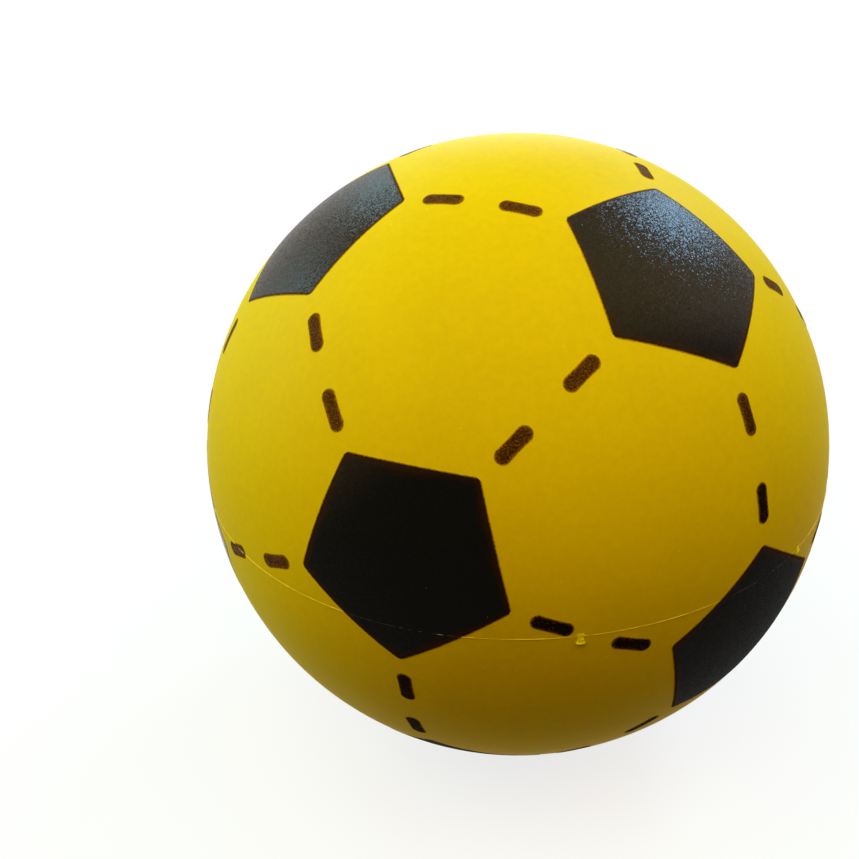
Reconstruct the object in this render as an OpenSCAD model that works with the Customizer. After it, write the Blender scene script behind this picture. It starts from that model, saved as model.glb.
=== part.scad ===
// Soft soccer ball, moulded in foam, with black pentagons and pairs of seam dashes in ink.
// The origin is the middle of the ball. The mould axis is +Z, and the parting line lies on z = 0.

/* [Ball] */
// Diameter of the ball over its skin
ball_d = 200; // [180:1:220]
// Thickness of the dense skin that the foam forms against the mould
skin_t = 1.5; // [0.8:0.1:4]

/* [Parting line] */
// Width of the flash bead at its foot, where the two mould halves met
flash_w = 0.5; // [0.3:0.05:1]
// Height of the flash bead above the skin
flash_h = 0.25; // [0.15:0.05:0.6]
// Headings round the parting line at which the stub of a mould vent is left
nub_headings = [-80.8, -37]; // [-180:0.1:180]
// Width of a vent stub along the parting line, at its head and its foot
nub_w = 2.4; // [1.8:0.1:4]
// Width of a vent stub at its waist
nub_waist = 1.5; // [1.4:0.1:1.8]
// Rise of a vent stub above the parting line
nub_rise = 0.9; // [0.6:0.1:1.5]
// Drop of each vent stub below the parting line
nub_drops = [2.4, 1]; // [1:0.1:4]
// Height of a vent stub above the skin
nub_h = 0.8; // [0.4:0.1:1.5]

/* [Print] */
// Side of a black pentagon, straight from corner to corner
pentagon_side = 36; // [30:0.5:40]
// Length of a seam dash over its round ends
dash_l = 11.9; // [8:0.1:14]
// Width of a seam dash at its round ends
dash_w = 4.3; // [4.2:0.1:5.5]
// Width of a seam dash at its waist
dash_waist = 4.1; // [3:0.1:4.1]
// Thickness of the ink film
ink_t = 0.1; // [0.08:0.01:0.14]
// Turn of the whole print about the mould axis
print_turn = -47.5; // [-60:0.5:60]
// Lean of the whole print about a line that comes out at the front, 30 degrees above the parting line
print_lean = -0.9; // [-3:0.1:3]

/* [Hidden] */
$fn = 96;
ball_r = ball_d / 2;
core_r = ball_r - skin_t;
// A reach that is safely past the outside of the ball
reach = ball_r * 1.1;
// Share of a vent stub's length that its waist takes up
nub_waist_share = 0.7;

// The pentagons sit on the corners of an icosahedron that stands on one face, so a plain panel lies on the
// mould axis. Angle at the ball's centre between two neighbouring pentagons
edge_angle = acos(1 / sqrt(5));
// Latitude of the three pentagons round each pole
cap_lat = 90 - asin(2 * sin(edge_angle / 2) / sqrt(3));
// Latitude of the three pentagons on each side of the parting line
belt_lat = edge_angle - cap_lat;
// Angle at the ball's centre from the middle of a pentagon to its corner
corner_angle = asin(pentagon_side / (2 * ball_r * sin(180 / 5)));
// The seam between two facing corners is halved, and each half has a dash in its middle
dash_angle = (edge_angle - 2 * corner_angle) / 4;

skin_color = [0.88, 0.74, 0.03];
flash_color = [0.95, 0.83, 0.20];
foam_color = [0.93, 0.84, 0.35];
ink_color = [0.06, 0.055, 0.05];
dash_color = [0.20, 0.13, 0.05];

// Direction from the ball's centre at a latitude and a heading
function on_ball(lat, heading) = [cos(lat) * cos(heading), cos(lat) * sin(heading), sin(lat)];

// Direction after the whole print has leaned over
function leaned(v) =
    let (axis = on_ball(30, -90))
    cos(print_lean) * v + sin(print_lean) * cross(axis, v) + (1 - cos(print_lean)) * (axis * v) * axis;

// Direction at an angle from one direction towards another
function towards(from, to, angle) =
    let (side = to - (from * to) * from)
    cos(angle) * from + sin(angle) * side / norm(side);

// Direction that lies some mm along and some mm across from another, when facing the direction ahead
function shifted(out, ahead, along, across) =
    let (side = cross(out, ahead) / norm(cross(out, ahead)))
    let (place = ball_r * out + along * cross(side, out) + across * side)
    place / norm(place);

// The row of a shift table for a node, or no shift at all
function shift_of(name, table) =
    let (rows = [for (row = table) if (row[0] == name) row])
    len(rows) > 0 ? rows[0] : [name, 0, 0, 0, 0];

// Radius of the arc that dents a side of this length by this depth
function dent_r(length, depth) = (length * length / 4 + depth * depth) / (2 * depth);

// The print on a soft ball is out of register by a millimetre or two. Each row is a pentagon that lies off
// its true place: node name, mm up the ball, mm to the left as seen from outside, degrees about its own
// middle, and mm that it reaches farther from there to its corners
PENTAGON_SHIFTS = [
    ["pentagon_upper_cap_1", 1.5, -1.25, 1.3, 0.9],
    ["pentagon_upper_cap_3", 0.8, -0.6, 0, 0.6],
    ["pentagon_upper_belt_3", 0.3, 0.1, -0.9, 0.1],
    ["pentagon_lower_belt_1", -1.0, 0, 0.7, 1.0]
];

// The same for dashes: node name, mm along and across the seam for its first dash, and then for its second
DASH_SHIFTS = [
    ["seam_dashes_01", 2.1, 1.8, 0, 0],
    ["seam_dashes_02", 1.3, -0.1, -1.0, -0.2],
    ["seam_dashes_03", 0, 2.1, 0, 0],
    ["seam_dashes_04", -0.1, 0.7, 0.3, 0.7],
    ["seam_dashes_05", -0.8, 0.4, -0.1, 0],
    ["seam_dashes_11", 1.6, 1.6, 0.4, 1.0],
    ["seam_dashes_13", 0, -1.1, 0, 0],
    ["seam_dashes_14", 0, 0.9, 0, 0],
    ["seam_dashes_17", 0, 0, 0, -1.1],
    ["seam_dashes_19", -1.0, -0.55, -1.8, -1.3],
    ["seam_dashes_20", -0.5, -1.1, -1.3, -1.5],
    ["seam_dashes_21", -0.7, -0.3, -1.6, -1.5]
];

// Four levels of three pentagons each: name, latitude, and heading of the first one
LEVELS = [
    ["upper_cap", cap_lat, 0],
    ["upper_belt", belt_lat, 60],
    ["lower_belt", -belt_lat, 0],
    ["lower_cap", -cap_lat, 60]
];

// Every pentagon: node name and the true direction of its middle
PENTAGONS = [
    for (level = LEVELS) for (k = [0:2])
        let (heading = print_turn + level[2] + 120 * k)
        [str("pentagon_", level[0], "_", k + 1), leaned(on_ball(level[1], heading))]
];

// Two pentagons are neighbours when the angle between them is an edge, give or take a degree
NEIGHBOUR_COSINE = cos(edge_angle + 1);

// Every seam: the true directions of the two neighbouring pentagons that it joins
SEAMS = [
    for (i = [0:len(PENTAGONS) - 1]) for (j = [i + 1:1:len(PENTAGONS) - 1])
        let (a = PENTAGONS[i][1], b = PENTAGONS[j][1])
        if (a * b > NEIGHBOUR_COSINE) [a, b]
];

function nub_name(k) = str("vent_nub_", k + 1);
function seam_name(k) = str("seam_dashes_", k < 9 ? "0" : "", k + 1);

// Turns +Y to the direction out, and +X as near as it goes to the direction ahead
module facing(out, ahead) {
    z = cross(ahead, out) / norm(cross(ahead, out));
    x = cross(out, z);
    multmatrix([
        [x[0], out[0], z[0], 0],
        [x[1], out[1], z[1], 0],
        [x[2], out[2], z[2], 0]
    ]) children();
}

// A mark that lies on the skin: its outline stands on the ball's +Y side and is then turned to its place
module mark(out, ahead, thickness) {
    facing(out, ahead)
        intersection() {
            difference() {
                sphere(ball_r + thickness);
                sphere(ball_r);
            }
            rotate([-90, 0, 0]) children();
        }
}

// A mark in ink, broken where it crosses the flash bead
module ink_mark(out, ahead) {
    difference() {
        mark(out, ahead, ink_t) children();
        rotate_extrude()
            translate([ball_r - flash_h, -flash_w / 2])
                square([2 * flash_h, flash_w]);
    }
}

// The cellular foam inside the ball
module foam_core() {
    color(foam_color) sphere(core_r);
}

// Half of the dense skin, from the parting plane to the pole
module upper_skin() {
    color(skin_color)
        rotate_extrude()
            intersection() {
                difference() {
                    circle(ball_r);
                    circle(core_r);
                }
                square(reach);
            }
}

module lower_skin() {
    mirror([0, 0, 1]) upper_skin();
}

// A bar along X whose two long sides are dented by arcs down to the waist
module waisted_bar(length, width, waist) {
    depth = (width - waist) / 2;
    arc_r = dent_r(length, depth);
    difference() {
        square([length, width], center = true);
        for (side = [-1, 1]) translate([0, side * (waist / 2 + arc_r)]) circle(arc_r);
    }
}

// The outline of a vent stub, upright: a head above the parting line, a waist, and a foot under the line
module nub_outline(drop) {
    length = nub_rise + drop;
    waist_l = length * nub_waist_share;
    end_l = (length - waist_l) / 2;
    translate([drop - length / 2, 0])
        union() {
            waisted_bar(waist_l, nub_w, nub_waist);
            for (end = [-1, 1])
                translate([end * (length - end_l) / 2, 0]) square([end_l, nub_w], center = true);
        }
}

// The fine bead of flash round the parting line, with a narrower crest, broken where a vent stub stands
module parting_flash() {
    crest_w = flash_w / 3;
    color(flash_color)
        difference() {
            rotate_extrude()
                polygon([
                    [ball_r, -flash_w / 2],
                    [ball_r + flash_h, -crest_w / 2],
                    [ball_r + flash_h, crest_w / 2],
                    [ball_r, flash_w / 2]
                ]);
            for (k = [0:len(nub_headings) - 1])
                facing(on_ball(0, nub_headings[k]), [0, 0, -1])
                    rotate([-90, 0, 0]) linear_extrude(reach) nub_outline(nub_drops[k]);
        }
}

// The trimmed stub of a mould vent
module vent_nub(heading, drop) {
    color(flash_color)
        mark(on_ball(0, heading), [0, 0, -1], nub_h)
            linear_extrude(reach) nub_outline(drop);
}

// A pentagon whose sides are great circles, with one corner towards the equator of the print
module pentagon_print(name, true_out) {
    up = leaned([0, 0, 1]);
    shift = shift_of(name, PENTAGON_SHIFTS);
    out = shifted(true_out, up, shift[1], shift[2]);
    corner_slope = tan(corner_angle) + shift[4] / ball_r;
    color(ink_color)
        ink_mark(out, -sign(out * up) * up)
            rotate(shift[3]) cylinder(h = reach, r1 = 0, r2 = reach * corner_slope, $fn = 5);
}

// A dash with round ends and a slight waist, square to the skin
module dash(out, ahead) {
    straight = dash_l - dash_w;
    ink_mark(out, ahead)
        linear_extrude(reach)
            union() {
                waisted_bar(straight, dash_w, dash_waist);
                for (end = [-1, 1]) translate([end * straight / 2, 0]) circle(dash_w / 2);
            }
}

// The two dashes that stand for the seam between two pentagons
module seam_dashes(name, a, b) {
    shift = shift_of(name, DASH_SHIFTS);
    first = towards(a, b, edge_angle / 2 - dash_angle);
    second = towards(a, b, edge_angle / 2 + dash_angle);
    color(dash_color) {
        dash(shifted(first, b, shift[1], shift[2]), b);
        dash(shifted(second, b, shift[3], shift[4]), b);
    }
}

foam_core();
upper_skin();
lower_skin();
parting_flash();
for (k = [0:len(nub_headings) - 1])
    vent_nub(nub_headings[k], nub_drops[k]);
for (pentagon = PENTAGONS)
    pentagon_print(pentagon[0], pentagon[1]);
for (k = [0:len(SEAMS) - 1])
    seam_dashes(seam_name(k), SEAMS[k][0], SEAMS[k][1]);
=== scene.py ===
# %% [markdown]
# # A soft foam soccer ball
# The real ball is one moulding in yellow foam, with a dense smooth skin. Black pentagons and short dashes
# are sprayed on it through a mask, so that it looks like a sewn ball. Its construction comes from the
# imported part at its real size, in metres, and this lesson gives every piece of it a shape and a finish
# for the eye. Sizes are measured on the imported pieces, so that the looks always fit the construction.

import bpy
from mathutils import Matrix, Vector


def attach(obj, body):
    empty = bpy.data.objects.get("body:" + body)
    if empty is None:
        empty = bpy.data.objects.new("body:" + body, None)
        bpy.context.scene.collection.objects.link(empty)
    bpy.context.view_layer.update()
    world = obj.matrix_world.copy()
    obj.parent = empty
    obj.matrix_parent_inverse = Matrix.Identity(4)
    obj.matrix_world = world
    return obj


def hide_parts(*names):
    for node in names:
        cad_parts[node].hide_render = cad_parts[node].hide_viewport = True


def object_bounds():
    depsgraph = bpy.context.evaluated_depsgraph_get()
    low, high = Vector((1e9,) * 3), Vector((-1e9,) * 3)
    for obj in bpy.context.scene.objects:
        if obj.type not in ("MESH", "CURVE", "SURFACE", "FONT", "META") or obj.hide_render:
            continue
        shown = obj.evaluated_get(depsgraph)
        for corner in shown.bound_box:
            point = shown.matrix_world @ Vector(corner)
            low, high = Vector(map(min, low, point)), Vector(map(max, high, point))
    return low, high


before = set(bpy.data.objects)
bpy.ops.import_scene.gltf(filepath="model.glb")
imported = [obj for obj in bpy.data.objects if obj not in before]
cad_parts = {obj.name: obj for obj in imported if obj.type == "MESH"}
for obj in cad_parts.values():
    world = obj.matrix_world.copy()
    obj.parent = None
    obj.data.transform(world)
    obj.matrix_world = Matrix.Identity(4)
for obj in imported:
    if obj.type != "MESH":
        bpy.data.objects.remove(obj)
cad_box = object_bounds()
box_corners = [[round(c, 4) for c in corner] for corner in cad_box]
print("packed pieces:", len(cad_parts), "in a box from", *box_corners)

# %% [markdown]
# ## The sizes
# Everything on the real ball stands on its skin by fractions of a millimetre: the ink, the flash and the
# vent stubs. A maker would take those sizes with a caliper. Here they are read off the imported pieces, as
# the reach of each from the middle of the ball, so that no size is written down twice.

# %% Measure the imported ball
import math

import bmesh
import bpy
from mathutils import Matrix, Vector, noise

MM = 0.001


def reach_of(node):
    """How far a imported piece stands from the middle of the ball."""
    return max(v.co.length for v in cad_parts[node].data.vertices)


ball_r = reach_of("upper_skin")
core_r = reach_of("foam_core")
ink_t = reach_of("pentagon_upper_cap_1") - ball_r
flash_h = reach_of("parting_flash") - ball_r
nub_h = reach_of("vent_nub_1") - ball_r
print("ball radius %.2f mm, skin %.2f mm, ink %.2f mm, flash %.2f mm, vent stub %.2f mm" % tuple(
    size / MM for size in (ball_r, ball_r - core_r, ink_t, flash_h, nub_h)))

# %% [markdown]
# ## The camera
# The picture was taken by hand from close by, looking down at the ball by 30 degrees, so the ball shows
# well under half of its skin. The camera stands in the plane of X = 0, and its lens shift moves the ball
# off the middle of the frame, because turning the camera away would change the perspective.

# %% Place the camera
camera_elevation = math.radians(30)
camera_distance = 3.694 * ball_r
camera = bpy.data.objects.new("camera", bpy.data.cameras.new("camera"))
bpy.context.scene.collection.objects.link(camera)
bpy.context.scene.camera = camera
camera.data.sensor_width = 36
camera.data.lens = 46.37
camera.data.shift_x = -0.1033
camera.data.shift_y = 0.0169
camera.data.clip_start = 0.01
camera_side = Vector((0, -math.cos(camera_elevation), math.sin(camera_elevation)))
camera.location = camera_side * camera_distance
camera.rotation_mode = "QUATERNION"
camera.rotation_quaternion = (-camera_side).to_track_quat("-Z", "Y")
print("the camera stands %.0f mm from the middle of the ball" % (camera_distance / MM))

# %% [markdown]
# ## The layout of the print
# A sewn ball has twelve pentagons, on the corners of an icosahedron. This one stands on a face of it, so
# a plain panel lies on the mould axis and the pentagons come in four levels of three. Each pair of
# neighbours is joined by a seam, and the seam is printed as two dashes. The ball sat a little askew in
# the mask, so the whole print leans by 0.9 degrees against the parting line. These are the true
# directions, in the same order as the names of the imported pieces.

# %% Work out where every mark should lie
edge_angle = math.acos(1 / math.sqrt(5))
cap_latitude = math.pi / 2 - math.asin(2 * math.sin(edge_angle / 2) / math.sqrt(3))
belt_latitude = edge_angle - cap_latitude
neighbour_slack = math.radians(1)
print_turn, lean_angle = -47.5, -0.9
print_lean = Matrix.Rotation(math.radians(lean_angle), 3, camera_side)
print_up = print_lean @ Vector((0, 0, 1))
levels = (
    ("upper_cap", cap_latitude, 0),
    ("upper_belt", belt_latitude, 60),
    ("lower_belt", -belt_latitude, 0),
    ("lower_cap", -cap_latitude, 60),
)


def on_ball(latitude, heading):
    """Direction from the middle of the ball, from a latitude and a heading in radians."""
    return Vector((math.cos(latitude) * math.cos(heading), math.cos(latitude) * math.sin(heading),
                   math.sin(latitude)))


pentagons = {}
for level, latitude, first_heading in levels:
    for k in range(3):
        heading = math.radians(print_turn + first_heading + 120 * k)
        pentagons[f"pentagon_{level}_{k + 1}"] = print_lean @ on_ball(latitude, heading)

middles = list(pentagons.values())
pairs = [(a, b) for i, a in enumerate(middles) for b in middles[i + 1:]]
neighbours = [(a, b) for a, b in pairs if a.angle(b) < edge_angle + neighbour_slack]
seams = {f"seam_dashes_{k + 1:02d}": pair for k, pair in enumerate(neighbours)}
print(len(pentagons), "pentagons and", len(seams), "seams")

# %% [markdown]
# ## Where the marks really lie
# A soft ball shifts in the mask while it is sprayed, so some marks are out of register by a millimetre or
# two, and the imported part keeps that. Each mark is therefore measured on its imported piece. The corners of
# a pentagon are the points that reach farthest towards its true corners, and the middle of a dash is
# halfway along its reach and across it.

# %% Measure the marks


def pointing(out, ahead):
    """The turn that takes +Z to out, and +X as near as it goes to ahead."""
    side = out.cross(ahead).normalized()
    return Matrix((side.cross(out), side, out)).transposed()


def pentagon_turn(node, middle):
    """The turn from a pentagon about +Z, with a corner towards +X, to a packed one, and its corner angle."""
    true_turn = pointing(middle, -middle.dot(print_up) * print_up)
    points = [v.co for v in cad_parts[node].data.vertices]
    corners = []
    for k in range(5):
        outwards = true_turn @ Vector((math.cos(math.radians(72 * k)), math.sin(math.radians(72 * k)), 0))
        corners.append(max(points, key=outwards.dot).normalized())
    measured_middle = sum(corners, Vector()).normalized()
    return pointing(measured_middle, corners[0]), measured_middle.angle(corners[0])


def dash_turn(points, out, ahead):
    """The turn that takes a dash about +Z, with its length along +X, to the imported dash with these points."""
    true_turn = pointing(out, ahead)
    flat = [true_turn.transposed() @ point for point in points]
    halfway = [(max(p[axis] for p in flat) + min(p[axis] for p in flat)) / 2 for axis in (0, 1)]
    return pointing((true_turn @ Vector((*halfway, ball_r))).normalized(), ahead)


pentagon_turns = {}
pentagon_slopes = {}
for node, middle in pentagons.items():
    pentagon_turns[node], own_angle = pentagon_turn(node, middle)
    pentagon_slopes[node] = math.tan(own_angle)
corner_slope = min(pentagon_slopes.values())
corner_angle = math.atan(corner_slope)
pentagon_sizes = {node: slope / corner_slope for node, slope in pentagon_slopes.items()}
print("corner angle %.2f degrees, and the largest pentagon is %.1f %% larger" % (
    math.degrees(corner_angle), 100 * (max(pentagon_sizes.values()) - 1)))

dash_angle = (edge_angle - 2 * corner_angle) / 4
dash_turns = {}
for node, (first, second) in seams.items():
    seam_middle = (first + second).normalized()
    seam_side = (second - first).normalized()
    points = [v.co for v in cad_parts[node].data.vertices]
    dash_turns[node] = []
    for side in (-1, 1):
        true_place = seam_middle * math.cos(dash_angle) + side * seam_side * math.sin(dash_angle)
        own_points = [point for point in points if side * seam_side.dot(point) > 0]
        dash_turns[node].append(dash_turn(own_points, true_place, second))
shifts = [pentagon_turns[node].col[2].angle(middle) * ball_r / MM for node, middle in pentagons.items()]
print("pentagons out of register by up to %.2f mm" % max(shifts))

# %% [markdown]
# ## Helpers for shapes on a ball
# Every mark is shaped once, lying about the +Z pole with its length along +X, and is then turned to its
# place. The skin isn't a perfect ball: foam shrinks unevenly as it cools, by a few hundredths of a
# millimetre, which is enough to make a highlight wander. The same small unevenness goes into the skin and
# into the ink on it.

# %% Turn, cut and lay shapes on the ball
slow_wave, slow_rise = 28 * MM, 0.06 * MM
fine_wave, fine_rise = 6 * MM, 0.012 * MM
touching, weld = 1e-7, 0.05 * MM


def uneven(direction):
    """How far the moulded skin stands off the true ball in a direction."""
    place = direction * ball_r
    return slow_rise * noise.noise(place / slow_wave) + fine_rise * noise.noise(place / fine_wave)


def cut(bm, point, normal, drop_behind=True):
    """Cuts a mesh with a plane, and drops what lies behind the plane unless that is kept."""
    everything = bm.verts[:] + bm.edges[:] + bm.faces[:]
    bmesh.ops.bisect_plane(bm, geom=everything, dist=touching, plane_co=point, plane_no=normal,
                           clear_inner=drop_behind)


def make_piece(name, bm, slot, *nodes):
    """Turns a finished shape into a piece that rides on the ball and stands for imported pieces."""
    for face in bm.faces:
        face.smooth = True
    mesh = bpy.data.meshes.new(name)
    bm.to_mesh(mesh)
    bm.free()
    made = bpy.data.objects.new(name, mesh)
    bpy.context.scene.collection.objects.link(made)
    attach(made, "root")
    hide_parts(*nodes)
    return made


print("the skin stands off the true ball by up to %.2f mm" % ((slow_rise + fine_rise) / MM))

# %% [markdown]
# ## The moulded skin
# The skin forms where the foam meets the cold mould, so each mould half leaves a half of it, and the two
# meet at the parting line. A sphere of squares would pinch at its poles, so the halves start from an
# icosphere, whose triangles are even all over. It is cut on the parting plane, made uneven, and given its
# wall by solidify.

# %% Model the two halves of the skin
skin_detail = 7


def skin_half(name, side):
    """Half of the skin with its wall, on the +Z side or the -Z side of the parting plane."""
    bm = bmesh.new()
    bmesh.ops.create_icosphere(bm, subdivisions=skin_detail, radius=ball_r)
    cut(bm, (0, 0, 0), (0, 0, side))
    bmesh.ops.remove_doubles(bm, verts=bm.verts[:], dist=weld)
    rim = [edge for edge in bm.edges if edge.is_boundary]
    for vert in {v for edge in rim for v in edge.verts}:
        vert.co.z = 0
    for vert in bm.verts:
        direction = vert.co.normalized()
        vert.co = direction * (ball_r + uneven(direction))
    for edge in rim:
        edge.smooth = False
    bmesh.ops.recalc_face_normals(bm, faces=bm.faces[:])
    bmesh.ops.solidify(bm, geom=bm.faces[:], thickness=ball_r - core_r)
    return make_piece(f"{name}_moulded", bm, "skin", name)


skin_halves = [skin_half("upper_skin", 1), skin_half("lower_skin", -1)]
for half in skin_halves:
    print(half.name, len(half.data.polygons), "faces")

# %% [markdown]
# ## The foam core
# Under the skin is soft foam with open cells. It can't be seen on a whole ball, but it is there when the
# ball is cut open. An icosphere gets its cells from a cell noise, which presses each point in by its own
# depth and leaves the walls between the cells standing.

# %% Model the foam core
core_detail = 6
cell_size, cell_depth, wall_slope = 3.5 * MM, 0.5 * MM, 2
core_gap = 0.05 * MM
bm = bmesh.new()
bmesh.ops.create_icosphere(bm, subdivisions=core_detail, radius=core_r - core_gap)
for vert in bm.verts:
    near, next_near = noise.voronoi(vert.co / cell_size)[0][:2]
    pressed = min(1.0, (next_near - near) * wall_slope)
    vert.co *= 1 - pressed * cell_depth / core_r
foam_core = make_piece("foam_core_cells", bm, "foam", "foam_core")
print(foam_core.name, len(foam_core.data.polygons), "faces, inside a radius of %.2f mm" % (
    max(v.co.length for v in foam_core.data.vertices) / MM))

# %% [markdown]
# ## The flash on the parting line
# A little foam creeps between the mould halves and stays on the ball as a thread as fine as a hair, with
# small beads where more of it came out. A low profile is spun once round the mould axis, and then swollen
# and thinned along its way by a noise. Where it crosses a pentagon it was sprayed over, so each point
# also keeps how deep it lies inside the ink, for the finish to read. On the front, three spots get a
# painted highlight along the inked crest, and each point keeps how strong it is as well.

# %% Model the flash
flash_w = 0.3 * MM
flash_steps = 1440
bead_wave, swell_wave = 1.6 * MM, 11 * MM
flash_foot = 0.05 * MM
thinnest, usual, widest = 0.12, 0.62, 1.4
swell_share, bead_share = 0.7, 0.6
wander_share, wander_start = 0.12, Vector((7, 3, 5))
# Spots on the front where a highlight is painted on the inked crest of the flash.
highlight_spots = ((-101.5, 1.0), (-104.2, 0.6), (-107.5, 0.25))
highlight_reach = 0.75
profile = ((-0.5, -flash_foot), (-0.42, 0.3 * flash_h), (-0.18, 0.6 * flash_h),
           (0.18, 0.6 * flash_h), (0.42, 0.3 * flash_h), (0.5, -flash_foot))


def on_cone(angle, heading):
    """Direction at an angle from +Z and at a heading from +X."""
    return on_ball(math.pi / 2 - angle, heading)


corners = [on_cone(corner_angle, math.radians(72 * k)) for k in range(5)]
pentagon_sides = [corners[k].cross(corners[(k + 1) % 5]).normalized() for k in range(5)]


def depth_in_pentagon(direction):
    """How far a direction lies inside the sides of the pentagon about +Z, and below zero outside it."""
    return ball_r * math.asin(min(direction.dot(side) for side in pentagon_sides))


def ink_depth(direction):
    """How far a direction lies inside the nearest pentagon."""
    nearest = max(pentagon_turns, key=lambda node: pentagon_turns[node].col[2].dot(direction))
    flat = pentagon_turns[nearest].transposed() @ direction
    size = pentagon_sizes[nearest]
    return depth_in_pentagon(Vector((flat.x / size, flat.y / size, flat.z)).normalized())


def highlight_at(heading):
    """How strong the painted highlight on the crest is at a heading in degrees, from 0 to 1."""
    return sum(share * max(0.0, 1 - abs(heading - middle) / highlight_reach) for middle, share in highlight_spots)


bm = bmesh.new()
ring = [bm.verts.new((ball_r + rise, 0, across * flash_w)) for across, rise in profile]
ends = [bm.edges.new(pair) for pair in zip(ring, ring[1:] + ring[:1])]
bmesh.ops.spin(bm, geom=ring + ends, cent=(0, 0, 0), axis=(0, 0, 1), angle=math.tau, steps=flash_steps,
               use_merge=True)
inked = bm.verts.layers.float.new("ink_depth")
# Each point also keeps how strong the painted highlight on its crest is.
crest_highlight = bm.verts.layers.float.new("crest_highlight")
for vert in bm.verts:
    around = Vector((vert.co.x, vert.co.y, 0)).normalized()
    heading = math.degrees(math.atan2(around.y, around.x))
    bead = noise.noise(around * ball_r / bead_wave)
    swell = noise.noise(around * ball_r / swell_wave)
    size = max(thinnest, usual + swell_share * swell + bead_share * bead)
    wander = wander_share * flash_w * noise.noise(around * ball_r / swell_wave + wander_start)
    rise = vert.co.xy.length - ball_r
    rise = min(rise * size, flash_h) if rise > 0 else rise
    spot = around * (ball_r + uneven(around) + rise)
    vert.co = Vector((spot.x, spot.y, vert.co.z * min(size, widest) + wander))
    vert[inked] = ink_depth(around) / MM
    vert[crest_highlight] = highlight_at(heading)
bmesh.ops.recalc_face_normals(bm, faces=bm.faces[:])
flash = make_piece("parting_flash_thread", bm, "flash", "parting_flash")
print(flash.name, len(flash.data.polygons), "faces")

# %% [markdown]
# ## The vent stubs
# Air leaves the mould through small vents on the parting line, and the foam that follows it is trimmed
# off. What stays is a stub with a drawn-in waist, thin at its head and full at its foot. Its place and
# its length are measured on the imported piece. A cube is stretched, cut across in steps, drawn in at the
# waist, pared to a wedge, bevelled, and roughened a little, since a stub is torn rather than machined.

# %% Model the vent stubs
nub_w, nub_waist = 2.3 * MM, 1.2 * MM
head_share, head_rise = 0.82, 0.15
waist_sharpness = 4
stub_h = 0.85 * nub_h
nub_sink = 0.2 * MM
nub_cuts = 12
nub_bevel, sharp_angle = 0.28 * MM, math.radians(50)
tear_wave, tear = 0.7 * MM, 0.12 * MM


def vent_stub(node):
    """A trimmed stub in the place of a packed one, with its length up and down the ball."""
    points = [v.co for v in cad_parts[node].data.vertices]
    headings = [math.atan2(point.y, point.x) for point in points]
    heading = (max(headings) + min(headings)) / 2
    drop = -min(point.z for point in points)
    length = drop + max(point.z for point in points)
    bm = bmesh.new()
    bmesh.ops.create_cube(bm, size=1)
    bmesh.ops.scale(bm, vec=(length, nub_w, stub_h + nub_sink), verts=bm.verts[:])
    for k in range(1, nub_cuts):
        cut(bm, (length * (k / nub_cuts - 0.5), 0, 0), (1, 0, 0), drop_behind=False)
    for vert in bm.verts:
        drawn_in = math.cos(math.pi * vert.co.x / length) ** waist_sharpness
        from_head = vert.co.x / length + 0.5
        vert.co.y *= 1 + (nub_waist / nub_w - 1) * drawn_in
        vert.co.y *= head_share + (1 - head_share) * from_head
        if vert.co.z > 0:
            vert.co.z -= stub_h * (1 - head_rise) * (1 - from_head)
    sharp = [edge for edge in bm.edges if edge.calc_face_angle(0) > sharp_angle]
    bmesh.ops.bevel(bm, geom=sharp, offset=nub_bevel, segments=3, profile=0.5, affect="EDGES", material=-1)
    turn = pointing(on_ball(0, heading), Vector((0, 0, -1)))
    middle = Vector((drop - length / 2, 0, ball_r + (stub_h - nub_sink) / 2))
    for vert in bm.verts:
        place = turn @ (vert.co + middle)
        vert.co = place + noise.noise_vector(place / tear_wave) * tear
    bmesh.ops.recalc_face_normals(bm, faces=bm.faces[:])
    return make_piece(f"{node}_stub", bm, "flash", node)


vent_stubs = [vent_stub(node) for node in ("vent_nub_1", "vent_nub_2")]
print([stub.name for stub in vent_stubs])

# %% [markdown]
# ## The black pentagons
# The ink is sprayed through a mask, so a pentagon has great circles for sides, fuzzy edges and slightly
# blunt corners, and its film thins out at the rim, where the yellow shows through as brown. The blank is
# a patch of icosphere, cut by five planes through the middle of the ball, each moved out by the width of
# the stray drops, and once more across each corner. Two more cuts along each side give the rim rows of
# its own, the edge is divided finely enough to be made ragged, and the corners are smoothed round.

# %% Shape one pentagon about the pole
patch_margin = 1.15
stray = 0.2 * MM
rim_rows = (0.35 * MM, 1.1 * MM)
corner_blunt, corner_round = 0.35 * MM, 1.3 * MM
corner_passes, edge_cuts = 2, 2


def pentagon_blank():
    """The outline of a pentagon as a patch of the ball, with each point's depth inside it."""
    bm = bmesh.new()
    bmesh.ops.create_icosphere(bm, subdivisions=skin_detail, radius=ball_r)
    far = [v for v in bm.verts if v.co.z < ball_r * math.cos(corner_angle * patch_margin)]
    bmesh.ops.delete(bm, geom=far, context="VERTS")
    for side in pentagon_sides:
        cut(bm, -side * stray, side)
    for corner in corners:
        outwards = (corner * corner.z - Vector((0, 0, 1))).normalized()
        cut(bm, corner * ball_r - outwards * corner_blunt, -outwards)
    for row in rim_rows:
        for side in pentagon_sides:
            cut(bm, side * (row - stray), side, drop_behind=False)
    bmesh.ops.remove_doubles(bm, verts=bm.verts[:], dist=weld)
    edge = [e for e in bm.edges if e.is_boundary]
    bmesh.ops.subdivide_edges(bm, edges=edge, cuts=edge_cuts)
    tips = [v for v in bm.verts if any((v.co - c * ball_r).length < corner_round for c in corners)]
    for _ in range(corner_passes):
        bmesh.ops.smooth_vert(bm, verts=tips, factor=0.5, use_axis_x=True, use_axis_y=True, use_axis_z=True)
    bmesh.ops.triangulate(bm, faces=bm.faces[:])
    depth = bm.verts.layers.float.new("ink_depth")
    for vert in bm.verts:
        vert[depth] = max(0.0, depth_in_pentagon(vert.co.normalized()) + stray) / MM
    return bm


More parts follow.
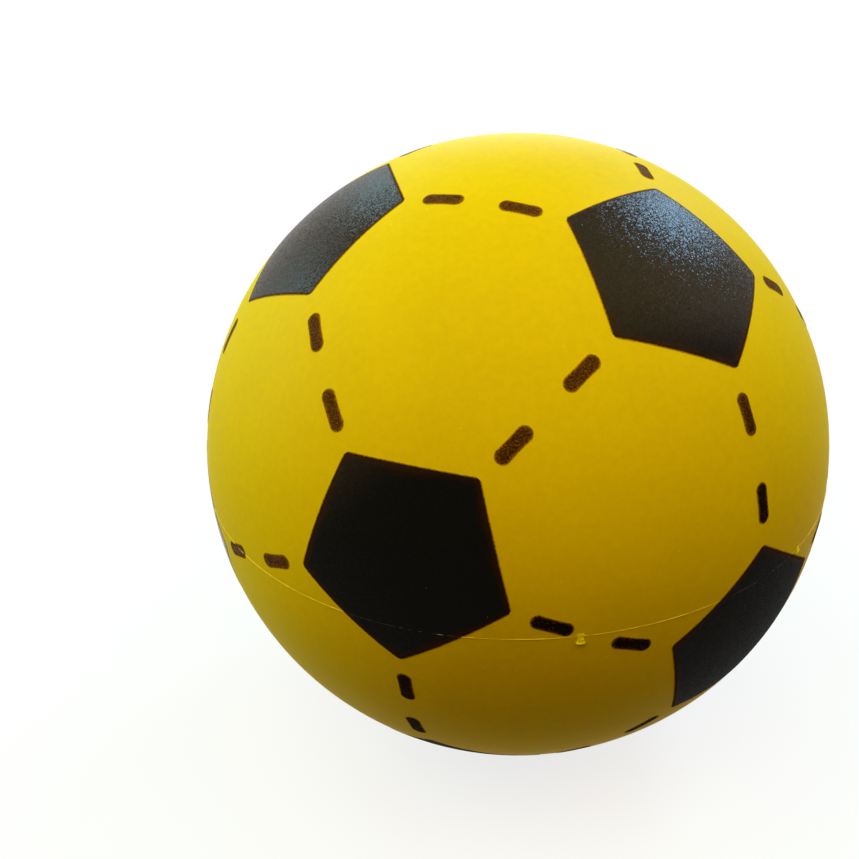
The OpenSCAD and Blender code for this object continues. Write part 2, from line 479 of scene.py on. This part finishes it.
blank_pentagon = pentagon_blank()
print("pentagon blank:", len(blank_pentagon.faces), "faces")

# %% [markdown]
# ## A film of ink
# Pentagons and dashes are laid on the ball by the same steps. The outline is turned to its place, its
# edge is made ragged by a noise, and the patch is doubled into a closed film: a lower face just inside
# the skin and an upper face that rises from the rim to the full thickness of the ink.

# %% Lay a film of ink on the ball
ragged_wave, ragged = 0.75 * MM, 0.07 * MM
wavy_wave, wavy = 7 * MM, 0.07 * MM
rim_thickness = 0.3
film_foot = 0.02 * MM


def ink_film(blank, turn, size=1.0):
    """A closed film of ink in the shape of a blank, on its place on the skin and at its own size."""
    bm = blank.copy()
    depth = bm.verts.layers.float["ink_depth"]
    edge = {v for e in bm.edges if e.is_boundary for v in e.verts}
    for vert in bm.verts:
        vert.co = turn @ Vector((vert.co.x * size, vert.co.y * size, vert.co.z)).normalized() * ball_r
    for vert in edge:
        frayed = noise.noise_vector(vert.co / ragged_wave) * ragged
        vert.co += frayed + noise.noise_vector(vert.co / wavy_wave) * wavy
    for e in bm.edges:
        e.smooth = not e.is_boundary
    lower = bm.verts[:]
    doubled = bmesh.ops.extrude_face_region(bm, geom=bm.faces[:], use_keep_orig=True)
    upper = [part for part in doubled["geom"] if isinstance(part, bmesh.types.BMVert)]
    for vert in lower:
        direction = vert.co.normalized()
        vert.co = direction * (ball_r + uneven(direction) - film_foot)
    for vert in upper:
        direction = vert.co.normalized()
        full = min(1.0, vert[depth] * MM / rim_rows[0])
        thickness = ink_t * (rim_thickness + (1 - rim_thickness) * full)
        vert.co = direction * (ball_r + uneven(direction) + thickness)
    bmesh.ops.recalc_face_normals(bm, faces=bm.faces[:])
    return bm


pentagon_films = []
for node, turn in pentagon_turns.items():
    film = ink_film(blank_pentagon, turn, pentagon_sizes[node])
    pentagon_films.append(make_piece(f"{node}_ink", film, "pentagon_ink", node))
blank_pentagon.free()
print(len(pentagon_films), "pentagons of", len(pentagon_films[0].data.polygons), "faces each")

# %% [markdown]
# ## The seam dashes
# A dash is a short bar with round ends and a slight waist. A line from its middle to its edge is spun
# half round, which makes one end with rows that follow the outline. The end is mirrored, the two are
# bridged, and the long edges of the bridge are divided, so that the bar can bend over the ball.

# %% Shape one dash about the pole
dash_l, dash_w, dash_waist = 11.9 * MM, 4.3 * MM, 4.1 * MM
dash_stray = 0.12 * MM
dash_rows = (0, 0.4, 0.68, 0.85, 1)
dash_end_steps = 22
dash_cuts = 26


def dash_blank():
    """The outline of a dash as a patch of the ball, with each point's depth inside it."""
    half_w = dash_w / 2 + dash_stray
    half_straight = (dash_l - dash_w) / 2
    bm = bmesh.new()
    line = [bm.verts.new((0, row * half_w, 0)) for row in dash_rows]
    spokes = [bm.edges.new(pair) for pair in zip(line, line[1:])]
    bmesh.ops.spin(bm, geom=line + spokes, cent=(0, 0, 0), axis=(0, 0, 1), angle=math.pi,
                   steps=dash_end_steps)
    bmesh.ops.remove_doubles(bm, verts=bm.verts[:], dist=touching)
    bmesh.ops.translate(bm, vec=(-half_straight, 0, 0), verts=bm.verts[:])
    one_end = bm.verts[:] + bm.edges[:] + bm.faces[:]
    bmesh.ops.mirror(bm, geom=one_end, matrix=Matrix.Identity(4), merge_dist=-1, axis="X")
    open_sides = [e for e in bm.edges if e.is_boundary
                  and all(abs(abs(v.co.x) - half_straight) < touching for v in e.verts)]
    bmesh.ops.bridge_loops(bm, edges=open_sides)
    long_edges = [e for e in bm.edges if e.calc_length() > half_straight]
    bmesh.ops.subdivide_edges(bm, edges=long_edges, cuts=dash_cuts, use_grid_fill=True)
    bmesh.ops.recalc_face_normals(bm, faces=bm.faces[:])
    depth = bm.verts.layers.float.new("ink_depth")
    for vert in bm.verts:
        past_end = max(0.0, abs(vert.co.x) - half_straight)
        vert[depth] = (half_w - math.hypot(past_end, vert.co.y)) / MM
        along = min(1.0, abs(vert.co.x) / half_straight)
        vert.co.y *= 1 + (dash_waist / dash_w - 1) * (1 - along ** 2)
        vert.co = (vert.co + Vector((0, 0, ball_r))).normalized() * ball_r
    return bm


blank_dash = dash_blank()
faces_out = all(face.normal.z > 0 for face in blank_dash.faces)
print("dash blank:", len(blank_dash.faces), "faces, facing out:", faces_out)

# %% [markdown]
# ## Two dashes on a seam
# A stitched seam would run from one pentagon to the next, and the print hints at it with two dashes in
# line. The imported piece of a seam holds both, so their two films are joined in one mesh.

# %% Lay two dashes on every seam
dash_films = []
for node, turns in dash_turns.items():
    both = bpy.data.meshes.new(node)
    joined = bmesh.new()
    for turn in turns:
        film = ink_film(blank_dash, turn)
        film.to_mesh(both)
        film.free()
        joined.from_mesh(both)
    bpy.data.meshes.remove(both)
    dash_films.append(make_piece(f"{node}_ink", joined, "dash_ink", node))
blank_dash.free()
print(len(dash_films), "seams of", len(dash_films[0].data.polygons), "faces each")

# %% [markdown]
# ## Helpers for finishes
# A finish is a tree of shader nodes. These few helpers place a node and fill its sockets, either with a
# value or with the output of another node, so that each finish below reads like a recipe.

# %% Short words for shader nodes


def linear(red, green, blue):
    """A colour as the eye reads it off a picture, 0 to 255, in the linear light that shaders use."""
    parts = [c / 255 for c in (red, green, blue)]
    return (*[c / 12.92 if c <= 0.04045 else ((c + 0.055) / 1.055) ** 2.4 for c in parts], 1)


def fill(tree, socket, value):
    """Links an output to a socket, or sets the socket's own value."""
    if isinstance(value, bpy.types.NodeSocket):
        tree.links.new(value, socket)
    else:
        socket.default_value = value


def add(tree, kind, settings=None, **sockets):
    """Places a node with its settings and its named sockets."""
    made = tree.nodes.new(kind)
    for name, value in (settings or {}).items():
        setattr(made, name, value)
    for name, value in sockets.items():
        fill(tree, made.inputs[name.replace("_", " ")], value)
    return made


def calc(tree, operation, *terms):
    """One step of arithmetic."""
    made = add(tree, "ShaderNodeMath", {"operation": operation})
    for socket, term in zip(made.inputs, terms):
        fill(tree, socket, term)
    return made.outputs[0]


def vector_calc(tree, operation, *terms):
    """One step of arithmetic with directions."""
    made = add(tree, "ShaderNodeVectorMath", {"operation": operation})
    for socket, term in zip(made.inputs, terms):
        fill(tree, socket, term)
    return made.outputs["Vector"]


def between(tree, value, low, high):
    """Where a value stands from low to high, eased from 0 to 1."""
    made = add(tree, "ShaderNodeMapRange", {"interpolation_type": "SMOOTHSTEP"}, Value=value)
    fill(tree, made.inputs["From Min"], low)
    fill(tree, made.inputs["From Max"], high)
    return made.outputs["Result"]


def blend(tree, share, first, second):
    """A colour that goes from the first to the second as share goes from 0 to 1."""
    made = add(tree, "ShaderNodeMix", {"data_type": "RGBA"})
    for index, value in ((0, share), (6, first), (7, second)):
        fill(tree, made.inputs[index], value)
    return made.outputs[2]


def clouds(tree, place, size, detail=2.0):
    """Soft noise whose lumps are about this size in metres."""
    return add(tree, "ShaderNodeTexNoise", Vector=place, Scale=1 / size, Detail=detail).outputs[0]


def dots(tree, place, spacing, radius, share, full=0.2):
    """Small round dots scattered about this far apart, of which only a share is kept. A dot is at its full
    strength within this share of its radius, and fades from there."""
    cells = add(tree, "ShaderNodeTexVoronoi", Vector=place, Scale=1 / spacing)
    lot = add(tree, "ShaderNodeSeparateColor", Color=cells.outputs["Color"]).outputs[0]
    dot = between(tree, cells.outputs["Distance"], radius / spacing, full * radius / spacing)
    return calc(tree, "MULTIPLY", dot, calc(tree, "LESS_THAN", lot, share))


def new_finish(name):
    """An empty material. Returns it, its tree, its Principled shader and the place on the piece."""
    made = bpy.data.materials.new(name)
    made.use_nodes = True
    tree = made.node_tree
    shader = tree.nodes["Principled BSDF"]
    place = add(tree, "ShaderNodeTexCoord").outputs["Object"]
    return made, tree, shader, place


def new_effect(name, inputs, outputs):
    """An empty node group with named sockets. Returns the group and its two end nodes."""
    group = bpy.data.node_groups.new(name, "ShaderNodeTree")
    for label, kind in inputs.items():
        group.interface.new_socket(label, in_out="INPUT", socket_type=kind)
    for label, kind in outputs.items():
        group.interface.new_socket(label, in_out="OUTPUT", socket_type=kind)
    return group, group.nodes.new("NodeGroupInput"), group.nodes.new("NodeGroupOutput")


def use_effect(tree, group, **sockets):
    """Places a node group in a finish and returns its outputs."""
    made = add(tree, "ShaderNodeGroup", {"node_tree": group})
    for label, value in sockets.items():
        fill(tree, made.inputs[label.replace("_", " ")], value)
    return made.outputs


def paint(finish, *pieces):
    """Gives pieces their finish."""
    for piece in pieces:
        piece.data.materials.append(finish)


print("a middle grey of 119 is", round(linear(119, 119, 119)[0], 3), "in linear light")

# %% [markdown]
# ## The grain of the moulding
# The mould was blasted, so the skin has a fine grain of about a third of a millimetre, over softer lumps
# of a few millimetres like the peel of an orange. It shows as mottling on the yellow, and as glitter on
# the black, since the ink follows its small facets and each of them tilts its own way. The skin and the
# inks all need it, so it is a node group. It also scatters the pale specks and the pinholes that burst
# bubbles leave.

# %% Build the grain
grain_size, peel_size, tone_size = 0.5 * MM, 2.2 * MM, 26 * MM
facet_sizes = 0.27 * MM, 0.43 * MM
peel_height, peel_share, fine_share = 0.5, 0.6, 0.4
pinhole_spacing, pinhole_radius, pinhole_share = 5 * MM, 0.16 * MM, 0.08
speck_spacing, speck_radius, speck_share = 5 * MM, 0.6 * MM, 0.3
grain, ends_in, ends_out = new_effect(
    "moulded grain",
    {"Place": "NodeSocketVector"},
    {"Height": "NodeSocketFloat", "Mottle": "NodeSocketFloat", "Tone": "NodeSocketFloat",
     "Specks": "NodeSocketFloat", "Pinholes": "NodeSocketFloat", "Tilt": "NodeSocketVector"},
)
place = ends_in.outputs["Place"]
fine = clouds(grain, place, grain_size, 1.0)
peel = clouds(grain, place, peel_size, 2.0)
pinholes = dots(grain, place, pinhole_spacing, pinhole_radius, pinhole_share)
bumps = calc(grain, "MULTIPLY_ADD", peel, peel_height, fine)
mottle = calc(grain, "MULTIPLY_ADD", peel, peel_share, calc(grain, "MULTIPLY", fine, fine_share))
specks = dots(grain, place, speck_spacing, speck_radius, speck_share)
small, coarse = [add(grain, "ShaderNodeTexVoronoi", Vector=place, Scale=1 / size).outputs["Color"]
                 for size in facet_sizes]
tilt = vector_calc(grain, "SUBTRACT", vector_calc(grain, "ADD", small, coarse), (1, 1, 1))
fill(grain, ends_out.inputs["Height"], calc(grain, "SUBTRACT", bumps, pinholes))
fill(grain, ends_out.inputs["Mottle"], mottle)
fill(grain, ends_out.inputs["Tone"], clouds(grain, place, tone_size, 2.0))
fill(grain, ends_out.inputs["Specks"], specks)
fill(grain, ends_out.inputs["Pinholes"], pinholes)
fill(grain, ends_out.inputs["Tilt"], tilt)
print("grain group:", len(grain.nodes), "nodes")

# %% [markdown]
# ## The yellow skin
# The foam is coloured right through, and its skin is satin, neither dull nor glossy. Its yellow drifts a
# little from place to place. The specks are paler, where the skin is thin over a bubble, and the pinholes
# are painted darker for the shade inside them.

# %% Finish the skin
skin_deep, skin_bright = linear(231, 191, 0), linear(239, 199, 0)
# The pinholes are painted darker for the shade inside them.
speck_colour, pinhole_shade_colour = linear(248, 224, 60), linear(150, 112, 0)
mottle_share, tone_share, speck_strength = 0.6, 0.4, 0.5
skin_rough, skin_rough_drift, skin_bump = 0.5, 0.12, 0.012 * MM
skin_finish, tree, shader, place = new_finish("moulded yellow skin")
grains = use_effect(tree, grain, Place=place)
tone = between(tree, grains["Tone"], 0.3, 0.7)
mottle = between(tree, grains["Mottle"], 0.36, 0.64)
shade = calc(tree, "MULTIPLY_ADD", mottle, mottle_share, calc(tree, "MULTIPLY", tone, tone_share))
yellow = blend(tree, shade, skin_deep, skin_bright)
yellow = blend(tree, calc(tree, "MULTIPLY", grains["Specks"], speck_strength), yellow, speck_colour)
yellow = blend(tree, grains["Pinholes"], yellow, pinhole_shade_colour)
fill(tree, shader.inputs["Base Color"], yellow)
fill(tree, shader.inputs["Roughness"], calc(tree, "MULTIPLY_ADD", mottle, skin_rough_drift, skin_rough))
shader.inputs["IOR"].default_value = 1.1
bump = add(tree, "ShaderNodeBump", Height=grains["Height"], Strength=1.0, Distance=skin_bump)
fill(tree, shader.inputs["Normal"], bump.outputs["Normal"])
paint(skin_finish, *skin_halves)
print(skin_finish.name, "on", len(skin_halves), "halves")

# %% [markdown]
# ## The flash and the vent stubs
# Flash is thin and catches the light, so its yellow is painted paler than the skin for that light. Where it
# crosses a pentagon the ink covers it, and a broken grey thread of painted highlight lies along its crest
# on the black. The stubs are torn foam, rougher than the skin, and painted a little brighter for the light they
# catch.

# %% Finish the flash and the stubs
# The paler yellow of the flash is painted for the light its thin crest catches.
flash_pale, flash_full = linear(244, 216, 52), linear(233, 199, 6)
flash_inked, flash_glint = linear(16, 13, 8), linear(206, 204, 190)
streak_size, glint_patch_size, glint_patch_share = 1.2 * MM, 4.5 * MM, 0.08
flash_rough, flash_rough_drift = 0.35, 0.15
inked_from, inked_to = -0.1, 0.3
flash_finish, tree, shader, place = new_finish("pale yellow flash")
streaks = between(tree, clouds(tree, place, streak_size), 0.35, 0.65)
bare = blend(tree, streaks, flash_full, flash_pale)
# Over the ink, the pale grey on the flash is a painted highlight along its crest, in patches and at the spots.
crest_glint = between(tree, clouds(tree, place, glint_patch_size), 0.52, 0.66)
crest_highlight = add(tree, "ShaderNodeAttribute", {"attribute_name": "crest_highlight"}).outputs["Fac"]
crest_glint = calc(tree, "MULTIPLY_ADD", calc(tree, "MULTIPLY", crest_glint, streaks), glint_patch_share, crest_highlight)
sprayed = blend(tree, crest_glint, flash_inked, flash_glint)
ink = add(tree, "ShaderNodeAttribute", {"attribute_name": "ink_depth"}).outputs["Fac"]
sprayed_over = between(tree, ink, inked_from, inked_to)
fill(tree, shader.inputs["Base Color"], blend(tree, sprayed_over, bare, sprayed))
fill(tree, shader.inputs["Roughness"], calc(tree, "MULTIPLY_ADD", streaks, flash_rough_drift, flash_rough))
shader.inputs["IOR"].default_value = 1.25
paint(flash_finish, flash)

# The stub yellow is painted brighter than the skin for the light its raised, thin foam catches.
stub_deep, stub_bright = linear(248, 214, 0), linear(255, 236, 24)
torn_size, torn_bump = 0.6 * MM, 0.04 * MM
stub_rough, stub_rough_drift = 0.55, 0.2
stub_finish, tree, shader, place = new_finish("torn yellow stub")
torn = between(tree, clouds(tree, place, torn_size, 3.0), 0.35, 0.65)
fill(tree, shader.inputs["Base Color"], blend(tree, torn, stub_deep, stub_bright))
fill(tree, shader.inputs["Roughness"], calc(tree, "MULTIPLY_ADD", torn, stub_rough_drift, stub_rough))
shader.inputs["IOR"].default_value = 1.2
bump = add(tree, "ShaderNodeBump", Height=torn, Strength=1.0, Distance=torn_bump)
fill(tree, shader.inputs["Normal"], bump.outputs["Normal"])
paint(stub_finish, *vent_stubs)
print(flash_finish.name, "and", stub_finish.name)

# %% [markdown]
# ## The ink
# Sprayed ink is a crowd of fine drops. Where they lie thick it is black, and where they lie thin the
# yellow shines through as brown: in a wide rim, and all over the dashes, which got a lighter coat. The
# outermost drops make a narrow fringe of dark yellow. How well the drops cover is worked out from the
# depth inside the mark, in millimetres, by one node group that each ink uses with its own coat and rim.

# %% Build the cover of the ink
fringe_w, fringe_fray = 0.45, 0.5
drop_size, drift_size = 0.42 * MM, 9 * MM
rim_least, rim_drift = 0.4, 1.2
cover_power = 2.2
cover, ends_in, ends_out = new_effect(
    "sprayed cover",
    {"Place": "NodeSocketVector", "Depth": "NodeSocketFloat", "Rim": "NodeSocketFloat",
     "Coat": "NodeSocketFloat", "Patches": "NodeSocketFloat"},
    {"Fringe": "NodeSocketFloat", "Cover": "NodeSocketFloat"},
)
place, depth = ends_in.outputs["Place"], ends_in.outputs["Depth"]
drops = clouds(cover, place, drop_size, 2.0)
drift = clouds(cover, place, drift_size, 1.0)
rim_share = calc(cover, "MULTIPLY_ADD", drift, rim_drift, rim_least)
width = calc(cover, "MULTIPLY", ends_in.outputs["Rim"], rim_share)
from_rim = calc(cover, "MINIMUM", calc(cover, "DIVIDE", depth, width), 1.0)
uneven_drops = calc(cover, "SUBTRACT", drops, 0.5)
frayed = calc(cover, "MULTIPLY_ADD", uneven_drops, fringe_fray, depth)
thick = calc(cover, "MULTIPLY", from_rim, ends_in.outputs["Coat"])
patchy = calc(cover, "MULTIPLY_ADD", uneven_drops, ends_in.outputs["Patches"], thick)
bare = calc(cover, "MAXIMUM", calc(cover, "SUBTRACT", 1.0, calc(cover, "MAXIMUM", patchy, 0.0)), 0.0)
fill(cover, ends_out.inputs["Fringe"], between(cover, frayed, fringe_w, 0.0))
fill(cover, ends_out.inputs["Cover"], calc(cover, "SUBTRACT", 1.0, calc(cover, "POWER", bare, cover_power)))
print("cover group:", len(cover.nodes), "nodes")

# %% [markdown]
# ## One recipe for two inks
# Pentagons and dashes are the same ink in two coats, so one function finishes both, each with values of
# its own. Towards the front, low on the right, the ink is blacker and duller and has a heavier coat. Farther
# round it is browner and has the gloss of the skin under it, and on the far side the drops came half dry,
# so it is a little duller again. Pale dots are painted glints, and the facets of the grain make it
# glitter.

# %% Finish the two inks
# The ink is blacker and duller towards this side of the ball, in front and low on the right.
front_low_side = Vector((0.35, -0.8, -0.48))
dry_from, dry_to = -0.1, -0.25
# Pale pinkish dots on the ink are painted glints.
sparkle_colour, sparkle_radius, sparkle_strength = linear(165, 135, 115), 0.19 * MM, 0.5
fringe_colour = linear(190, 146, 4)
loose_from, loose_to, loose_rough = 1.2, 0.2, 0.6
mottle_rough, ink_bump, glint = 0.1, 0.008 * MM, 0.22


def ink_finish(name, colours, front_low_from, front_low_to, rim, coats, patches, gloss, dulls, ior,
               sparkle_spacing, sparkle_share):
    """Ink from its fringe over the brown of thin drops to the full coat, black only towards the front, low on
    the right.
    """
    finish, tree, shader, place = new_finish(name)
    thin, light, front_low_colour = colours
    depth = add(tree, "ShaderNodeAttribute", {"attribute_name": "ink_depth"}).outputs["Fac"]
    facing = add(tree, "ShaderNodeVectorMath", {"operation": "DOT_PRODUCT"})
    fill(tree, facing.inputs[0], place)
    fill(tree, facing.inputs[1], front_low_side)
    towards = facing.outputs["Value"]
    front_low_share = between(tree, towards, front_low_from * ball_r, front_low_to * ball_r)
    dry_share = between(tree, towards, dry_from * ball_r, dry_to * ball_r)
    coat = calc(tree, "MULTIPLY_ADD", front_low_share, coats[1] - coats[0], coats[0])
    covers = use_effect(tree, cover, Place=place, Depth=depth, Rim=rim, Coat=coat, Patches=patches)
    grains = use_effect(tree, grain, Place=place)
    # Scattered dots of painted glint.
    sparkles = dots(tree, place, sparkle_spacing, sparkle_radius, sparkle_share)
    full = blend(tree, front_low_share, light, front_low_colour)
    colour = blend(tree, covers["Cover"], thin, full)
    colour = blend(tree, covers["Fringe"], colour, fringe_colour)
    colour = blend(tree, calc(tree, "MULTIPLY", sparkles, sparkle_strength), colour, sparkle_colour)
    fill(tree, shader.inputs["Base Color"], colour)
    satin = calc(tree, "MULTIPLY_ADD", dry_share, dulls[0], gloss)
    satin = calc(tree, "MULTIPLY_ADD", front_low_share, dulls[1], satin)
    satin = calc(tree, "MULTIPLY_ADD", grains["Mottle"], mottle_rough, satin)
    loose = between(tree, depth, loose_from, loose_to)
    fill(tree, shader.inputs["Roughness"], calc(tree, "MULTIPLY_ADD", loose, loose_rough, satin))
    shader.inputs["IOR"].default_value = ior
    bump = add(tree, "ShaderNodeBump", Height=grains["Height"], Strength=1.0, Distance=ink_bump)
    tilted = vector_calc(tree, "MULTIPLY_ADD", grains["Tilt"], (glint,) * 3, bump.outputs["Normal"])
    fill(tree, shader.inputs["Normal"], vector_calc(tree, "NORMALIZE", tilted))
    return finish


black = linear(58, 28, 3), linear(42, 28, 4), linear(5, 4, 1)
brown = linear(136, 82, 16), linear(60, 31, 6), linear(20, 9, 3)
pentagon_finish = ink_finish(
    "black pentagon ink", black, front_low_from=0.15, front_low_to=0.42, rim=4.5, coats=(1.35, 1.35), patches=0.6,
    gloss=0.11, dulls=(0.14, 0.66), ior=1.14, sparkle_spacing=2.6 * MM, sparkle_share=0.06)
dash_finish = ink_finish(
    "brown dash ink", brown, front_low_from=0.4, front_low_to=0.7, rim=1.2, coats=(0.52, 1.1), patches=2.2,
    gloss=0.4, dulls=(0, 0.3), ior=1.06, sparkle_spacing=0.7 * MM, sparkle_share=0.7)
paint(pentagon_finish, *pentagon_films)
paint(dash_finish, *dash_films)
print(pentagon_finish.name, "on", len(pentagon_films), "and", dash_finish.name, "on", len(dash_films))

# %% [markdown]
# ## The foam inside
# Open foam is paler than its skin, because every cell wall scatters light, and it is dull and full of
# small holes, whose insides are painted darker for the shade in them.

# %% Finish the foam
# The holes are painted darker for the shade inside them.
foam_pale, foam_hole_shade = linear(240, 216, 110), linear(190, 150, 40)
hole_spacing, hole_edge, hole_middle = 1.1 * MM, 0.45, 0.1
foam_rough, hole_rough, foam_bump = 0.85, 0.1, 0.3 * MM
foam_finish, tree, shader, place = new_finish("open foam")
cells = add(tree, "ShaderNodeTexVoronoi", {"feature": "SMOOTH_F1"}, Vector=place, Scale=1 / hole_spacing)
hole = between(tree, cells.outputs["Distance"], hole_edge, hole_middle)
fill(tree, shader.inputs["Base Color"], blend(tree, hole, foam_pale, foam_hole_shade))
fill(tree, shader.inputs["Roughness"], calc(tree, "MULTIPLY_ADD", hole, hole_rough, foam_rough))
bump = add(tree, "ShaderNodeBump", Height=cells.outputs["Distance"], Strength=1.0, Distance=foam_bump)
fill(tree, shader.inputs["Normal"], bump.outputs["Normal"])
paint(foam_finish, foam_core)
print(foam_finish.name)

# %% [markdown]
# ## The floor
# The ball lies on a plain pale sweep of paper. It is one square, so wide that its far edge is never seen,
# at the height of the lowest point of the ball. It belongs to the stage and not to the part.

# %% Lay the floor
floor_half = 30.0
bm = bmesh.new()
bmesh.ops.create_grid(bm, x_segments=1, y_segments=1, size=floor_half)
bmesh.ops.translate(bm, vec=(0, 0, -ball_r), verts=bm.verts[:])
floor_mesh = bpy.data.meshes.new("paper_sweep")
bm.to_mesh(floor_mesh)
bm.free()
floor = bpy.data.objects.new("paper_sweep", floor_mesh)
bpy.context.scene.collection.objects.link(floor)
print("floor at z = %.1f mm" % (-ball_r / MM))

# %% [markdown]
# ## The paper and the room
# The paper looks white and keeps a soft shadow. Paper that bright would throw so much light back up that
# the underside of the ball would glow, so only the eye, a mirror and glass see it white. To light that
# bounces it is a dull surface with a painted pool of yellow light close to the ball, and almost dark
# farther off. The room round it works the same way.

# %% Finish the paper and light the room
white, paper_colour = (1, 1, 1, 1), (0.95, 0.95, 0.95, 1)
shadow_near, shadow_far = 0.5 * ball_r, 3 * ball_r
shadow_share = 0.25
# Near the ball, the bounce colour of the paper is a painted pool of yellow light.
bounce_near, bounce_far = (0.42, 0.37, 0.14, 1), (0.05, 0.034, 0.016, 1)
bounce_from, bounce_to = 1.2 * ball_r, 2.4 * ball_r
room_colour = (0.02, 0.02, 0.02, 1)


def seen_by(tree):
    """1 for rays from the camera, off gloss or through glass, and 0 for light that bounces."""
    path = add(tree, "ShaderNodeLightPath").outputs
    seen = calc(tree, "MAXIMUM", path["Is Camera Ray"], path["Is Glossy Ray"])
    return calc(tree, "MAXIMUM", seen, path["Is Transmission Ray"])


def mix_shaders(tree, share, first, second):
    """Goes from the first shader to the second as share goes from 0 to 1."""
    made = add(tree, "ShaderNodeMixShader", Fac=share)
    fill(tree, made.inputs[1], first)
    fill(tree, made.inputs[2], second)
    return made.outputs[0]


paper = bpy.data.materials.new("white paper")
paper.use_nodes = True
tree = paper.node_tree
tree.nodes.clear()
place = add(tree, "ShaderNodeTexCoord").outputs["Object"]
away = add(tree, "ShaderNodeVectorMath", {"operation": "LENGTH"}, Vector=place).outputs["Value"]
keeps_shadow = calc(tree, "MULTIPLY", between(tree, away, shadow_far, shadow_near), shadow_share)
lit = add(tree, "ShaderNodeBsdfDiffuse", Color=paper_colour).outputs[0]
glow = add(tree, "ShaderNodeEmission", Color=white, Strength=1.0).outputs[0]
bounce_colour = blend(tree, between(tree, away, bounce_from, bounce_to), bounce_near, bounce_far)
dull = add(tree, "ShaderNodeBsdfDiffuse", Color=bounce_colour).outputs[0]
surface = mix_shaders(tree, seen_by(tree), dull, mix_shaders(tree, keeps_shadow, glow, lit))
add(tree, "ShaderNodeOutputMaterial", Surface=surface)
paint(paper, floor)

room = bpy.data.worlds.new("soft room")
room.use_nodes = True
tree = room.node_tree
seen_colour = blend(tree, seen_by(tree), room_colour, white)
fill(tree, tree.nodes["Background"].inputs["Color"], seen_colour)
bpy.context.scene.world = room
print(paper.name, "in a", room.name)

# %% [markdown]
# ## The lamps
# A large box overhead and one on each side light the ball evenly and let its underside fall dark. A warm
# one high in front makes up for the greenish tint of the one overhead, and a smaller one low on the left
# brightens that rim. Behind the ball hang boxes of cool daylight that stand for windows. They are what
# glitters on the black ink and pales the upper rim. The strength of a lamp is given as the brightness of
# a white card at the ball, so the yellow comes out about as it was written.

# %% Hang the lamps
lamp_distance = 1.6


def softbox(name, heading, elevation, size, light, colour):
    """A square lamp that faces the ball, with heading 0 behind the ball and 90 on its right. A white card
    at the ball that faces the lamp is as bright as light says, where 1 is full white."""
    lamp = bpy.data.lights.new(name, "AREA")
    lamp.shape = "SQUARE"
    lamp.size = size
    lamp.color = colour
    lamp.energy = light * (math.pi * lamp_distance) ** 2
    hung = bpy.data.objects.new(name, lamp)
    bpy.context.scene.collection.objects.link(hung)
    side = on_ball(math.radians(elevation), math.radians(90 - heading))
    hung.location = side * lamp_distance
    hung.rotation_mode = "QUATERNION"
    hung.rotation_quaternion = side.to_track_quat("Z", "Y")
    return hung


lamps = [
    softbox("overhead_softbox", 180, 85, 1.4, 0.38, (0.15, 1.0, 0.6)),
    softbox("left_key_softbox", -120, 55, 1.4, 0.53, (1.0, 0.86, 0.5)),
    softbox("right_key_softbox", 90, 45, 1.4, 0.45, (1.0, 0.82, 0.5)),
    softbox("side_softbox", -77, 14, 0.8, 0.41, (0.62, 1.0, 0.75)),
    softbox("front_softbox", 180, 62, 1.0, 0.27, (1.0, 0.34, 0.1)),
    softbox("low_back_softbox", 0, 12, 0.6, 0.25, (0.35, 0.55, 1.0)),
    softbox("right_back_softbox", 62, 48, 1.2, 0.07, (0.15, 0.85, 1.0)),
    softbox("window_softbox", 36.5, 30.5, 0.5, 0.55, (0.38, 0.68, 1.0)),
    softbox("far_window_softbox", -26, 26, 0.35, 0.13, (0.42, 0.85, 1.0)),
    softbox("corner_window_softbox", -58, 21, 0.35, 0.15, (0.38, 0.8, 1.0)),
]
for lamp in lamps:
    print(lamp.name, "%.1f W" % lamp.data.energy)

# %% [markdown]
# ## Colour
# The Standard view shows colours as they are, with no film look.

# %% Set the view
bpy.context.scene.view_settings.view_transform = "Standard"
